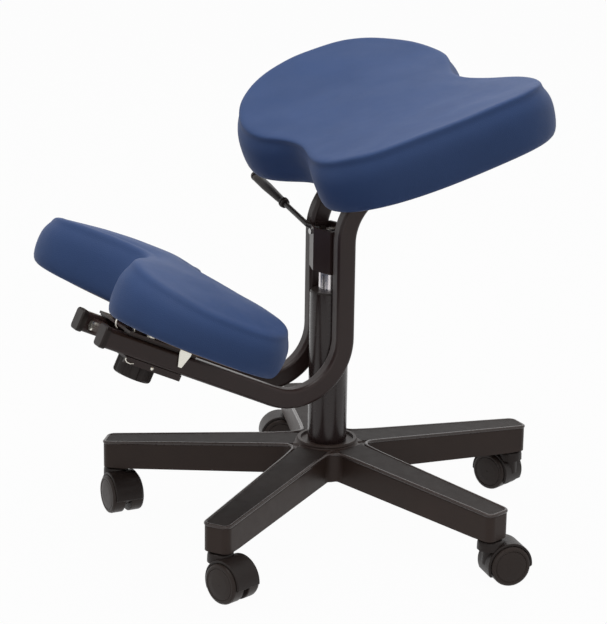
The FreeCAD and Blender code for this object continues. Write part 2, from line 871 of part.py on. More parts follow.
def lever_pivot():
    """A headed pin across the bracket."""
    body = new_body("lever_pivot")
    centre = (-size.pivot_offset, lever_height(-size.pivot_offset))
    shank = new_sketch(body, "XZ_Plane")
    add_circle(shank, centre, size.pivot_half)
    pad(body, shank, pin_reach * 2, both_ways=True)
    for side in (1, -1):
        head = new_sketch(body, "XZ_Plane", lift=pin_reach * side)
        add_circle(head, centre, size.pivot_half * 1.5)
        pad(body, head, size.ear_thick, backwards=(side < 0))
    return body


def vector(*parts):
    return FreeCAD.Vector(*[float(part) for part in parts])


def lever_points():
    """Outer end, bend beside the tube and inner tip over the button."""
    inner = size.lever_half * 1.4
    bend_x = -size.lever_bend_reach
    return [vector(-size.lever_reach, -size.lever_front, lever_height(-size.lever_reach)),
            vector(bend_x, -size.lever_front, lever_height(bend_x)),
            vector(inner, inner * size.lever_front / size.lever_bend_reach, lever_height(inner))]


def rod_between(start, end, radius):
    return Part.makeCylinder(radius, (end - start).Length, start, end - start)


def lever_rod():
    outer, bend, inner = lever_points()
    radius = size.lever_half.number
    grip_start = outer + (bend - outer).normalize() * (size.grip_long.number * 0.25)
    shape = rod_between(grip_start, bend, radius)
    shape = shape.fuse(Part.makeSphere(radius, bend)).fuse(rod_between(bend, inner, radius))
    share = size.pivot_offset.number / size.lever_bend_reach.number
    hub_y = -size.lever_front.number * share
    hub_long = size.lever_half.number * 2.6
    hub_at = vector(-size.pivot_offset, hub_y - hub_long / 2, lever_height(-size.pivot_offset))
    along = FreeCAD.Vector(0, 1, 0)
    shape = shape.fuse(Part.makeCylinder(size.pivot_half.number * 2.2, hub_long, hub_at, along))
    bore = size.pivot_half.number + size.turning_gap.number
    shape = shape.cut(Part.makeCylinder(bore, hub_long * 3, hub_at - along * hub_long, along))
    return featured("lever_rod", shape.removeSplitter())


def lever_grip():
    """A flattened oval grip that swells towards its rounded end, bored for the rod."""
    outer, bend, inner = lever_points()
    direction = (bend - outer).normalize()
    across = FreeCAD.Vector(0, 1, 0)
    upward = across.cross(direction).normalize()
    # share of the length from the outer end, then share of the full width there
    stations = ((0.0, 0.46), (0.04, 0.74), (0.14, 0.96), (0.4, 1.0), (0.75, 0.86), (0.9, 0.8), (1.0, 0.72))
    wires = []
    for along, share in stations:
        centre = outer + direction * (size.grip_long.number * along)
        major = size.grip_wide.number / 2 * share
        minor = size.grip_thick.number / 2 * share
        ellipse = Part.Ellipse(centre + across * major, centre + upward * minor, centre)
        wires.append(Part.Wire(ellipse.toShape()))
    shape = Part.makeLoft(wires, True, False)
    rod_start = outer + direction * (size.grip_long.number * 0.25)
    shape = shape.cut(rod_between(rod_start, bend, size.lever_half.number))
    return featured("lever_grip", shape)


# Cushions: a butterfly outline from a superellipse with a smooth notch at each end

def outline_reach(x, half_wide, half_long, squareness, notch, notch_wide):
    share = min(1.0, abs(x) / half_wide)
    return (half_long * (1 - share ** squareness) ** (1 / squareness)
            - notch * math.exp(-(x / notch_wide) ** 2))


def edge_drop(distance, radius):
    """How far a rounded edge falls at a distance inside the rim."""
    if distance >= radius:
        return 0.0
    return radius - math.sqrt(radius ** 2 - (radius - distance) ** 2)


class Pad:
    """One cushion's form in its own frame: x across, front and rear reach, low and high faces."""

    def __init__(self, half_wide, longs, squareness, notches, notch_wide, low, thick, dish, flat, fall,
                 rounds, crown, bulge):
        self.half_wide, self.longs = float(half_wide), [float(long) for long in longs]
        self.squareness = float(squareness)
        self.notches, self.notch_wide = [float(notch) for notch in notches], float(notch_wide)
        self.low, self.thick = float(low), float(thick)
        self.dish, self.flat, self.fall = float(dish), float(flat), float(fall)
        self.rounds, self.crown, self.bulge = [float(r) for r in rounds], float(crown), float(bulge)

    def lift(self, x):
        share = max(0.0, abs(x) - self.flat) / (self.half_wide - self.flat)
        return self.dish * share ** 2

    def section(self, x, inset=0.0, board=None):
        """The closed outline at one station; board gives a plain slab of that thickness instead."""
        half_wide = self.half_wide - inset
        front, rear = [outline_reach(x, half_wide, long - inset, self.squareness, notch, self.notch_wide)
                       for long, notch in zip(self.longs, self.notches)]
        front = -front
        low = self.low + self.lift(x)
        proud = size.board_proud.number
        if board is not None:
            corners = [(front, low - proud), (rear, low - proud), (rear, low + board), (front, low + board)]
            spots = [FreeCAD.Vector(x, y, z) for y, z in corners]
            return Part.makePolygon(spots + spots[:1])
        inside = half_wide - abs(x)
        share = abs(x) / half_wide
        high = self.low + self.lift(x) + self.thick + self.fall * share ** 2
        low += edge_drop(inside, self.rounds[1])
        high -= edge_drop(inside, self.rounds[0])
        r_low = min(self.rounds[1], (rear - front) * 0.2, (high - low) * 0.3)
        r_top = min(self.rounds[0], (rear - front) * 0.3, (high - low) * 0.45)
        crown = self.crown * min(1.0, inside / self.rounds[0] / 2)
        middle, half = (front + rear) / 2, math.sqrt(0.5)
        waist = (low + r_low + high - r_top) / 2

        def at(y, z):
            return FreeCAD.Vector(x, y, z)

        def curve(a, b, c):
            return Part.Arc(a, b, c).toShape()

        rear_low, rear_top = at(rear, low + r_low), at(rear, high - r_top)
        front_low, front_top = at(front, low + r_low), at(front, high - r_top)
        edges = [
            Part.LineSegment(at(front + r_low, low), at(rear - r_low, low)).toShape(),
            curve(at(rear - r_low, low), at(rear - r_low + r_low * half, low + r_low - r_low * half),
                  rear_low),
            curve(rear_low, at(rear + self.bulge, waist), rear_top),
            curve(rear_top, at(rear - r_top + r_top * half, high - r_top + r_top * half),
                  at(rear - r_top, high)),
            curve(at(rear - r_top, high), at(middle, high + crown), at(front + r_top, high)),
            curve(at(front + r_top, high), at(front + r_top - r_top * half, high - r_top + r_top * half),
                  front_top),
            curve(front_top, at(front - self.bulge, waist), front_low),
            curve(front_low, at(front + r_low - r_low * half, low + r_low - r_low * half),
                  at(front + r_low, low)),
        ]
        return Part.Wire(edges)

    def solid(self, inset=0.0, board=None):
        """A loft through stations that crowd towards the notches and the ends."""
        half_wide = self.half_wide - inset
        shares = (0.0, 0.055, 0.12, 0.2, 0.32, 0.47, 0.62, 0.76, 0.87, 0.94, 0.975, 0.993)
        stations = [-half_wide * share for share in reversed(shares[1:])]
        stations += [half_wide * share for share in shares]
        wires = [self.section(x, inset, board) for x in stations]
        return Part.makeLoft(wires, True, False)


def in_frame(shape, y, z, angle):
    """Moves a shape from a cushion's own frame into the chair's."""
    shape.translate(FreeCAD.Vector(0, float(y), 0))
    shape.rotate(FreeCAD.Vector(), FreeCAD.Vector(1, 0, 0), float(angle))
    shape.translate(FreeCAD.Vector(0, 0, float(z)))
    return shape


seat_pad = Pad(size.seat_half_wide, (size.seat_front_long, size.seat_rear_long), size.seat_squareness,
               (size.seat_front_notch, size.seat_rear_notch), size.seat_notch_wide, seat_low,
               size.seat_thick, size.seat_dish, size.seat_flat, size.seat_lobe_lift,
               (size.seat_top_round, size.seat_low_round), size.seat_crown, size.seat_side_bulge)
knee_pad = Pad(size.knee_half_wide, (size.knee_front_long, size.knee_rear_long), size.knee_squareness,
               (size.knee_front_notch, size.knee_rear_notch), size.knee_notch_wide, knee_low,
               size.knee_thick, size.knee_dish, size.knee_flat,
               -size.knee_fall, (size.knee_top_round, size.knee_low_round), size.knee_crown,
               size.knee_side_bulge)


def cushion_and_board(name, form, inset, frame):
    """The cushion wraps the board, whose lower face lies just under the cushion's."""
    board = form.solid(float(inset), float(size.board_thick))
    cushion = form.solid().cut(board)
    featured(name + "_board", in_frame(board, *frame))
    featured(name + "_cushion", in_frame(cushion, *frame))


def seat_plate():
    bolts = seat_bolt_places()
    body = padded("seat_plate", [box_corners(
        -size.seat_plate_half_wide, size.seat_plate_half_wide, size.seat_plate_front,
        size.seat_plate_front + size.seat_plate_long)] + [(spot, size.bolt_half) for spot in bolts],
        tube_half_deep, size.seat_plate_thick)
    rounded(body, lambda edge: edge.BoundBox.ZLength > 1 and edge.Length < size.seat_plate_thick.number + 1
            and abs(edge.BoundBox.XMin) > size.seat_plate_half_wide.number - 1, size.tube_round)
    under_seat(body)
    return body


def seat_bolt_places():
    out = (size.seat_plate_half_wide + tube_outer) / 2
    near = size.seat_plate_front + size.bolt_head_half * 2.5
    far = size.seat_plate_front + size.seat_plate_long - size.bolt_head_half * 2.5
    return [(out * side, spot) for side in (-1, 1) for spot in (near, far)]


def seat_bolts():
    body = new_body("seat_bolts")
    head = new_sketch(body, "XY_Plane", lift=tube_half_deep)
    shank = new_sketch(body, "XY_Plane", lift=tube_half_deep)
    for spot in seat_bolt_places():
        add_circle(head, spot, size.bolt_head_half)
        add_circle(shank, spot, size.bolt_half)
    pad(body, head, size.bolt_head_thick, backwards=True)
    pad(body, shank, size.seat_plate_thick)
    under_seat(body)
    return body


# Knee carriage

def knee_frame_y(reach):
    """Distances along the arms count backwards in the arms' own frame."""
    return -reach


def glide_strips():
    """Plastic strips between the carriage plate and the tubes."""
    half = tube_half_wide - size.resting_gap
    shapes = [box_corners(tube_at * side - half, tube_at * side + half, carriage_front + 2,
                          carriage_rear - 2) for side in (-1, 1)]
    shapes += [(spot, size.bolt_half) for spot in carriage_bolt_places()]
    body = padded("glide_strips", shapes, tube_half_deep + size.slide_gap, size.glide_thick)
    on_arms(body)
    return body


def carriage_bolt_places():
    spread = size.carriage_long * 0.16
    return [(tube_at * side, -carriage_centre + spread * end) for side in (-1, 1) for end in (-1, 1)]


def carriage_plate():
    shapes = [box_corners(-carriage_half_wide, carriage_half_wide, carriage_front, carriage_rear)]
    shapes += [(spot, size.bolt_half) for spot in carriage_bolt_places()]
    shapes.append(((ZERO, -carriage_centre), size.stud_half))
    body = padded("carriage_plate", shapes, plate_low, size.carriage_thick)
    on_arms(body)
    return body


def carriage_bolts():
    """Four bolts that hold the glide strips under the plate."""
    body = new_body("carriage_bolts")
    head = new_sketch(body, "XY_Plane", lift=plate_high)
    shank = new_sketch(body, "XY_Plane", lift=plate_low - size.glide_thick / 2)
    for spot in carriage_bolt_places():
        add_circle(head, spot, size.bolt_head_half)
        add_circle(shank, spot, size.bolt_half)
    pad(body, head, size.bolt_head_thick)
    pad(body, shank, size.carriage_thick + size.glide_thick / 2)
    on_arms(body)
    return body


def guide_ears():
    """Zinc V-shaped ears at the plate's edges that keep the carriage on the tubes."""
    body = new_body("guide_ears")
    middle = -(carriage_centre - size.ear_offset)
    for side in (-1, 1):
        inner = carriage_half_wide * side
        sketch = new_sketch(body, "YZ_Plane", lift=inner)
        add_polygon(sketch, [
            (middle - size.ear_wide / 2, plate_high), (middle - size.ear_wide / 2, plate_low - 1),
            (middle - size.ear_tip / 2, plate_high - size.ear_drop),
            (middle + size.ear_tip / 2, plate_high - size.ear_drop),
            (middle + size.ear_wide / 2, plate_low - 1), (middle + size.ear_wide / 2, plate_high)])
        pad(body, sketch, size.ear_thick, backwards=(side < 0))
    on_arms(body)
    return body


def riser_bolt_places():
    spread = size.riser_long * 0.28
    out = riser_half_wide * 0.58
    return [(out * side, -carriage_centre + spread * end) for side in (-1, 1) for end in (-1, 1)]


def riser_channel():
    """An inverted channel that lifts the knee board off the plate."""
    wide, skin, top = riser_half_wide, size.riser_skin, size.riser_high
    body = new_body("riser_channel")
    sketch = new_sketch(body, "XZ_Plane", lift=carriage_centre)
    add_polygon(sketch, [(-wide, plate_high), (-(wide - skin), plate_high), (-(wide - skin), top - skin),
                         (wide - skin, top - skin), (wide - skin, plate_high), (wide, plate_high),
                         (wide, top), (-wide, top)])
    pad(body, sketch, size.riser_long, both_ways=True)
    holes = new_sketch(body, "XY_Plane", lift=top - skin - 1)
    for spot in riser_bolt_places():
        add_circle(holes, spot, size.bolt_half)
    doc.recompute()
    before = body.Shape.Volume
    pocket(body, holes, skin + 2, backwards=True)
    cuts_something(body, before)
    on_arms(body)
    return body


def board_screws():
    """Four screws through the channel, up to the knee board."""
    body = new_body("board_screws")
    under = size.riser_high - size.riser_skin
    head = new_sketch(body, "XY_Plane", lift=under)
    shank = new_sketch(body, "XY_Plane", lift=under)
    for spot in riser_bolt_places():
        add_circle(head, spot, size.bolt_head_half)
        add_circle(shank, spot, size.bolt_half)
    pad(body, head, size.bolt_head_thick / 2, backwards=True)
    pad(body, shank, size.riser_skin)
    on_arms(body)
    return body


def clamp_stud():
    """The fixed stud that hangs from the plate between the tubes."""
    body = turned("clamp_stud", [
        (ZERO, stud_end), (size.stud_half - 1, stud_end), (size.stud_half, stud_end + 1),
        (size.stud_half, plate_high),
        (size.stud_head_half, plate_high), (size.stud_head_half, plate_high + size.stud_head_thick - 1),
        (size.stud_head_half - 1, plate_high + size.stud_head_thick),
        (ZERO, plate_high + size.stud_head_thick)])
    on_stud(body)
    return body


def on_stud(body):
    """Places a turned body on the stud's axis."""
    reach_y = -(carriage_centre * cosine(size.arm_tilt))
    reach_z = size.lower_corner + carriage_centre * sine(size.arm_tilt)
    place(body, ZERO, reach_y, reach_z, axis=(1, 0, 0), angle=-size.arm_tilt)


def clamp_plate():
    """The lower channel that the knob draws up against the tubes, its lips turned down."""
    wide, lip = size.clamp_half_wide, clamp_low - size.clamp_lip
    inside = wide - size.clamp_thick
    body = new_body("clamp_plate")
    sketch = new_sketch(body, "XZ_Plane")
    add_polygon(sketch, [(-wide, lip), (-inside, lip), (-inside, clamp_low), (inside, clamp_low),
                         (inside, lip), (wide, lip), (wide, clamp_high), (-wide, clamp_high)])
    pad(body, sketch, size.clamp_long, both_ways=True)
    hole = new_sketch(body, "XY_Plane", lift=lip)
    add_circle(hole, (ZERO, ZERO), stud_bore)
    pocket(body, hole, clamp_high - lip + 1, backwards=True)
    on_stud(body)
    return body


def knob():
    """A fluted hand knob, hollow for its insert and for the stud's end."""
    body = new_body("knob")
    round_part = new_sketch(body, "XY_Plane", lift=knob_low)
    add_circle(round_part, (ZERO, ZERO), size.knob_half)
    pad(body, round_part, size.knob_tall)
    rounded(body, lambda edge: edge.BoundBox.ZMax < knob_low.number + 0.01, size.knob_tall / 5)
    flute = new_sketch(body, "XY_Plane")
    add_circle(flute, (size.knob_half + size.flute_half - size.flute_depth, ZERO), size.flute_half)
    doc.recompute()
    before = body.Shape.Volume
    cut = pocket(body, flute, both_ways=True)
    cuts_something(body, before)
    repeated(body, [cut], size.knob_flutes)
    neck = new_sketch(body, "XY_Plane", lift=knob_high)
    add_circle(neck, (ZERO, ZERO), size.knob_neck_half)
    pad(body, neck, size.clamp_lip)
    doc.recompute()
    seat = new_sketch(body, "XY_Plane", lift=clamp_low - size.insert_tall)
    add_polygon(seat, insert_outline())
    pocket(body, seat, size.insert_tall + 1, backwards=True)
    bore = new_sketch(body, "XY_Plane", lift=stud_end - size.stud_play)
    add_circle(bore, (ZERO, ZERO), stud_bore)
    pocket(body, bore, size.knob_tall, backwards=True)
    on_stud(body)
    return body


def insert_outline():
    turn = as_size(360) / 6
    corner = size.insert_across / 2 / cosine(turn / 2)
    return [(corner * cosine(turn * (i + 0.5)), corner * sine(turn * (i + 0.5))) for i in range(6)]


def knob_insert():
    """The threaded hexagon insert, as a plain bore."""
    body = padded("knob_insert", [insert_outline(), ((ZERO, ZERO), stud_bore)],
                  clamp_low - size.insert_tall, size.insert_tall)
    on_stud(body)
    return body


# The whole chair

def build():
    base_star()
    caster_stems()
    for index in range(int(DRIVING_SIZES["arm_count"])):
        caster_hood(index)
        caster_axle(index)
        caster_wheel(index, 1, "left")
        caster_wheel(index, -1, "right")
    column_tube()
    guide_bush()
    thrust_bearing()
    piston_rod()
    rod_clip()
    gas_cylinder()
    release_button()
    side_tube("side_tube_left", 1)
    side_tube("side_tube_right", -1)
    tube_caps("front_end_caps", size.arm_reach, 1, on_arms)
    tube_caps("rear_end_caps", size.top_run, -1, under_seat)
    front_spacer()
    spacer_bolts()
    column_bracket()
    cylinder_socket()
    lever_pivot()
    lever_rod()
    lever_grip()
    seat_plate()
    seat_bolts()
    cushion_and_board("seat", seat_pad, size.seat_board_inset,
                      (size.seat_centre, size.upper_corner, size.seat_tilt))
    glide_strips()
    carriage_plate()
    carriage_bolts()
    guide_ears()
    riser_channel()
    board_screws()
    clamp_stud()
    cushion_and_board("knee", knee_pad, size.knee_board_inset,
                      (-(carriage_centre + size.knee_ahead), size.lower_corner, -size.arm_tilt))
    clamp_plate()
    knob()
    knob_insert()
    doc.recompute()


def check():
    """No object may be left failed, and no shape empty or broken."""
    faults = []
    for thing in doc.Objects:
        if "Invalid" in thing.State or "Error" in thing.State:
            faults.append("%s is %s" % (thing.Label, thing.State))
    for thing in sub_parts():
        shape = thing.Shape
        if shape.isNull() or not shape.isValid() or not shape.Solids:
            faults.append("%s has no sound shape" % thing.Label)
    if faults:
        raise RuntimeError("; ".join(faults))


def sub_parts():
    return [thing for thing in doc.Objects if thing.TypeId in ("PartDesign::Body", "Part::Feature")]


build()
check()
os.makedirs("parts", exist_ok=True)
for thing in sub_parts():
    thing.Shape.exportStep("parts/%s.step" % thing.Label)
    box = thing.Shape.BoundBox
    print("%-22s solids %d volume %9.0f  x %7.1f %7.1f  y %7.1f %7.1f  z %7.1f %7.1f" % (
        thing.Label, len(thing.Shape.Solids), thing.Shape.Volume, box.XMin, box.XMax, box.YMin, box.YMax,
        box.ZMin, box.ZMax))
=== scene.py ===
"""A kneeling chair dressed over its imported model, with a studio and the photograph's camera."""
import json
import math

import bmesh
import bpy
from mathutils import Matrix, Vector, noise


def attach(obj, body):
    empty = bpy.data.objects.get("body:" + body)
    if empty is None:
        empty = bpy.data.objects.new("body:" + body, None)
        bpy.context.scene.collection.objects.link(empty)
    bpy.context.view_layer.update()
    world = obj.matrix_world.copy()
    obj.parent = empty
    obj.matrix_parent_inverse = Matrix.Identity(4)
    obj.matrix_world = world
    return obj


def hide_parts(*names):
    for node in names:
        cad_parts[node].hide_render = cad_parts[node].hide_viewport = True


MM = 0.001  # this script's lengths are millimetres until they meet a mesh
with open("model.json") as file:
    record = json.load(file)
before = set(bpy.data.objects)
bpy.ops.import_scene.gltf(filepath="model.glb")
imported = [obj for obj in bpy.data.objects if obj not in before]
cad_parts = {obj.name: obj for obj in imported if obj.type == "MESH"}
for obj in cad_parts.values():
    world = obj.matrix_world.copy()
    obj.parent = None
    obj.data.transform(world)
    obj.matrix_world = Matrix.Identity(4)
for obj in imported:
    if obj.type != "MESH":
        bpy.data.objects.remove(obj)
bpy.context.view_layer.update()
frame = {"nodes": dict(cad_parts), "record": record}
nodes = frame["nodes"]
scene = bpy.context.scene

# The front arms and the seat slope away from two corners on the column's axis
ARM_TILT, LOWER_CORNER = math.radians(25), 149.5
SEAT_TILT, UPPER_CORNER = math.radians(16.8), 433.5


def arm_space(x, along, up):
    """Millimetres across, along the arms towards the front, and square to the arms."""
    return Vector((x, -along * math.cos(ARM_TILT) + up * math.sin(ARM_TILT),
                   LOWER_CORNER + along * math.sin(ARM_TILT) + up * math.cos(ARM_TILT))) * MM


def seat_space(x, along, up):
    """Millimetres across, along the seat towards the rear, and square to the seat."""
    return Vector((x, along * math.cos(SEAT_TILT) - up * math.sin(SEAT_TILT),
                   UPPER_CORNER + along * math.sin(SEAT_TILT) + up * math.cos(SEAT_TILT))) * MM


# Materials

class Surface:
    """A Principled material with a few ready-made node chains in object space."""

    def __init__(self, name, colour, roughness, metallic=0.0, specular=0.5, coat=0.0, coat_roughness=0.1):
        self.material = bpy.data.materials.new(name)
        self.material.use_nodes = True
        self.tree = self.material.node_tree
        self.shader = self.tree.nodes["Principled BSDF"]
        self.set("Base Color", (*colour, 1))
        self.set("Roughness", roughness)
        self.set("Metallic", metallic)
        self.set("Specular IOR Level", specular)
        self.set("Coat Weight", coat)
        self.set("Coat Roughness", coat_roughness)
        self.colour, self.roughness = colour, roughness
        self.place = self.node("ShaderNodeTexCoord").outputs["Object"]
        self.height = None

    def set(self, socket, value):
        self.shader.inputs[socket].default_value = value

    def node(self, kind, **inputs):
        node = self.tree.nodes.new(kind)
        for key, value in inputs.items():
            node.inputs[key.replace("_", " ")].default_value = value
        return node

    def link(self, output, target):
        self.tree.links.new(output, target)

    def noise(self, scale, detail=3, stretch=None):
        node = self.node("ShaderNodeTexNoise", Scale=scale, Detail=detail)
        place = self.place
        if stretch:
            mapping = self.node("ShaderNodeMapping")
            mapping.inputs["Scale"].default_value = stretch
            self.link(place, mapping.inputs["Vector"])
            place = mapping.outputs[0]
        self.link(place, node.inputs["Vector"])
        return node.outputs[0]

    def cells(self, scale):
        node = self.node("ShaderNodeTexVoronoi", Scale=scale)
        node.feature = "DISTANCE_TO_EDGE"
        self.link(self.place, node.inputs["Vector"])
        return node.outputs[0]

    def ramp(self, value, low, high, start=0.3, end=0.7):
        node = self.node("ShaderNodeValToRGB")
        first, last = node.color_ramp.elements
        first.position, last.position = start, end
        first.color, last.color = (*low, 1), (*high, 1)
        self.link(value, node.inputs[0])
        return node.outputs[0]

    def vary_colour(self, value, amount, start=0.3, end=0.7):
        low = [c * (1 - amount) for c in self.colour]
        high = [min(1, c * (1 + amount)) for c in self.colour]
        self.link(self.ramp(value, low, high, start, end), self.shader.inputs["Base Color"])

    def vary_roughness(self, value, amount):
        node = self.node("ShaderNodeMapRange")
        node.inputs["To Min"].default_value = self.roughness - amount
        node.inputs["To Max"].default_value = self.roughness + amount
        self.link(value, node.inputs["Value"])
        self.link(node.outputs[0], self.shader.inputs["Roughness"])

    def bump(self, value, distance, strength=1.0):
        """Adds relief; calls stack, each on top of the last."""
        node = self.node("ShaderNodeBump", Strength=strength, Distance=distance)
        self.link(value, node.inputs["Height"])
        if self.height:
            self.link(self.height, node.inputs["Normal"])
        self.height = node.outputs[0]
        self.link(self.height, self.shader.inputs["Normal"])


def vinyl():
    surface = Surface("blue_vinyl", (0.048, 0.087, 0.213), 0.55, specular=0.12)
    surface.vary_colour(surface.noise(14, 4), 0.05)
    surface.vary_roughness(surface.noise(60, 3), 0.05)
    surface.bump(surface.noise(38, 2), 0.0007, 0.5)
    surface.bump(surface.cells(480), 0.0003, 0.55)
    surface.bump(surface.noise(700, 2), 0.0002, 0.5)
    return surface.material


def paint(name, colour, roughness, coat):
    surface = Surface(name, colour, roughness, specular=0.25, coat=coat, coat_roughness=0.2)
    surface.vary_colour(surface.noise(22, 4), 0.08)
    surface.vary_roughness(surface.noise(150, 2), 0.05)
    surface.bump(surface.noise(650, 2), 0.00008, 0.6)
    return surface.material


def moulded(name, colour, roughness, grain):
    surface = Surface(name, colour, roughness, specular=0.22)
    surface.vary_colour(surface.noise(18, 5), 0.1)
    surface.vary_roughness(surface.noise(90, 3), 0.06)
    surface.bump(surface.noise(1400, 2), 0.00012, grain)
    return surface.material


def metal(name, colour, roughness, stretch=None):
    surface = Surface(name, colour, roughness, metallic=1.0)
    surface.vary_colour(surface.noise(40, 3), 0.04)
    surface.vary_roughness(surface.noise(300, 3, stretch), 0.04)
    surface.bump(surface.noise(900, 2, stretch), 0.00002, 0.5)
    return surface.material


def plywood():
    surface = Surface("plywood", (0.42, 0.27, 0.14), 0.65, specular=0.3)
    surface.vary_colour(surface.noise(40, 6, (0.35, 6, 6)), 0.25)
    surface.bump(surface.noise(200, 4, (0.3, 5, 5)), 0.00015, 0.6)
    return surface.material


MATERIALS = {
    "blue_vinyl": vinyl(),
    "plywood": plywood(),
    "frame_paint": paint("frame_paint", (0.036, 0.021, 0.019), 0.38, 0.1),
    "column_paint": paint("column_paint", (0.03, 0.018, 0.017), 0.26, 0.3),
    "base_plastic": moulded("base_plastic", (0.04, 0.025, 0.02), 0.42, 0.5),
    # Darker than the base plastic: painted shade for a sunk top along the arms
    "base_painted_shade": moulded("base_painted_shade", (0.016, 0.010, 0.008), 0.6, 0.5),
    # Lighter than the base plastic: a painted highlight along the edge beads; its gloss is real
    "base_bead_painted_highlight": paint("base_bead_painted_highlight", (0.05, 0.032, 0.027), 0.28, 0.4),
    "black_plastic": moulded("black_plastic", (0.024, 0.017, 0.015), 0.42, 0.5),
    "wheel_nylon": moulded("wheel_nylon", (0.036, 0.025, 0.021), 0.4, 0.3),
    "chrome": metal("chrome", (0.72, 0.68, 0.69), 0.24),
    "steel": metal("steel", (0.5, 0.49, 0.48), 0.3),
    "black_steel": paint("black_steel", (0.02, 0.015, 0.014), 0.35, 0.1),
    "zinc": metal("zinc", (0.75, 0.73, 0.66), 0.28),
}

NODE_MATERIALS = {
    "base_star": "base_plastic",
    "column_tube": "column_paint",
    "guide_bush": "black_plastic",
    "gas_cylinder": "chrome",
    "lever_rod": "black_steel",
    "lever_grip": "black_plastic",
    "knob": "black_plastic",
    "front_end_caps": "black_plastic",
    "rear_end_caps": "black_plastic",
    "glide_strips": "black_plastic",
    "seat_board": "plywood",
    "knee_board": "plywood",
}
SLOT_MATERIALS = {
    "blue_vinyl": "blue_vinyl", "plywood": "plywood", "frame_paint": "frame_paint",
    "black_plastic": "black_plastic", "wheel_nylon": "wheel_nylon", "chromed_steel": "chrome",
    "bright_steel": "steel", "zinc": "zinc",
}


def dress_nodes():
    for part in frame["record"]["subparts"]:
        name = part["node"]
        chosen = NODE_MATERIALS.get(name, SLOT_MATERIALS[part["material_slot"]])
        mesh = nodes[name].data
        mesh.materials.clear()
        mesh.materials.append(MATERIALS[chosen])


# Mesh helpers

def new_piece(name, bm, material, body, smooth_angle=40):
    mesh = bpy.data.meshes.new(name)
    bmesh.ops.recalc_face_normals(bm, faces=bm.faces)
    bm.to_mesh(mesh)
    bm.free()
    piece = bpy.data.objects.new(name, mesh)
    scene.collection.objects.link(piece)
    mesh.materials.append(MATERIALS[material])
    for polygon in mesh.polygons:
        polygon.use_smooth = True
    mesh.set_sharp_from_angle(angle=math.radians(smooth_angle))
    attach(piece, body)
    return piece


def bridge_rings(bm, rings, closed=True):
    """Joins rings of points, each as long as the last, with quads."""
    rows = [[bm.verts.new(point) for point in ring] for ring in rings]
    for lower, upper in zip(rows, rows[1:]):
        count = len(lower)
        for i in range(count if closed else count - 1):
            j = (i + 1) % count
            bm.faces.new((lower[i], lower[j], upper[j], upper[i]))
    return rows


# Cushions

class Cushion:
    """A butterfly outline, its heights, and the way its side swells and tucks in."""

    def __init__(self, **sizes):
        self.__dict__.update(sizes)

    def reach(self, x, sign):
        """How far the rim lies from the middle: a superellipse with a smooth notch at each end."""
        side = 0 if sign < 0 else 1
        share = min(1.0, abs(x) / self.half_wide)
        edge = self.longs[side] * (1 - share ** self.squareness) ** (1 / self.squareness)
        return sign * (edge - self.notches[side] * math.exp(-(x / self.notch_wide) ** 2))

    def outline(self, count):
        """Points round the rim, evenly spaced, from the +X end by way of the +sign side."""
        fine = []
        steps = 2400
        for i in range(steps):
            turn = 2 * math.pi * i / steps
            x = self.half_wide * math.copysign(abs(math.cos(turn)) ** (2 / self.squareness), math.cos(turn))
            fine.append(Vector((x, self.reach(x, 1 if math.sin(turn) >= 0 else -1))))
        lengths = [0.0]
        for i in range(steps):
            lengths.append(lengths[-1] + (fine[(i + 1) % steps] - fine[i]).length)
        points, at = [], 0
        for i in range(count):
            target = lengths[-1] * i / count
            while lengths[at + 1] < target:
                at += 1
            share = (target - lengths[at]) / max(1e-9, lengths[at + 1] - lengths[at])
            points.append(fine[at].lerp(fine[(at + 1) % steps], share))
        return points

    def lift(self, x):
        share = max(0.0, abs(x) - self.flat) / (self.half_wide - self.flat)
        return self.dish * share ** 2

    def front_shift(self, x, share):
        """The front notch is shallower towards the top, where the foam nearly closes over it."""
        ease = self.notch_ease * max(0.0, (share - 0.3) / 0.7) ** 1.5
        return -ease * self.notches[0] * math.exp(-(x / self.notch_wide) ** 2)

    def heights(self, x):
        low = self.low + self.lift(x)
        return low, low + self.thick + self.fall * (x / self.half_wide) ** 2


def inward_normals(points, blur=3):
    count = len(points)
    normals = []
    for i in range(count):
        tangent = points[(i + blur) % count] - points[i - blur]
        normals.append(Vector((-tangent.y, tangent.x)).normalized())
    return normals


SWELL, SWELL_SPREAD, SWELL_SEED = 1.6, 55, 40
BOARD_INSET, BOARD_DEPTH = 33.6, 8.3
UNDERSIDE_INSETS = (30, 24, 18)
SPINE_SHARE = 0.62

# Inset and share of the height, from the underside's edge up to the edge of the top
SIDE_PROFILE = ((12, 0.0), (8.6, 0.008), (6, 0.03), (4, 0.07), (2.4, 0.13), (1.1, 0.22), (0.3, 0.33),
                (0, 0.45), (0.3, 0.54), (1.2, 0.62), (2.9, 0.70), (5, 0.77), (6.8, 0.82), (7.9, 0.86),
                (8.3, 0.895), (8.4, 0.925), (8.7, 0.95), (9.8, 0.97), (12, 0.985), (15.5, 0.996), (21, 1.0))


def softened(inset, share, softness):
    """Blends the crisp edge with a plain round one that starts at a share of the height."""
    start, wide = 0.6, SIDE_PROFILE[-1][0]
    if share <= start:
        return inset
    plain = wide * (1 - math.sqrt(max(0.0, 1 - ((share - start) / (1 - start)) ** 2)))
    return inset + (plain - inset) * softness


def uneven(x, y, share=1.0):
    """A slight swell, so that the foam isn't perfectly even."""
    return SWELL * noise.noise(Vector((x, y, share * SWELL_SEED)) / SWELL_SPREAD)


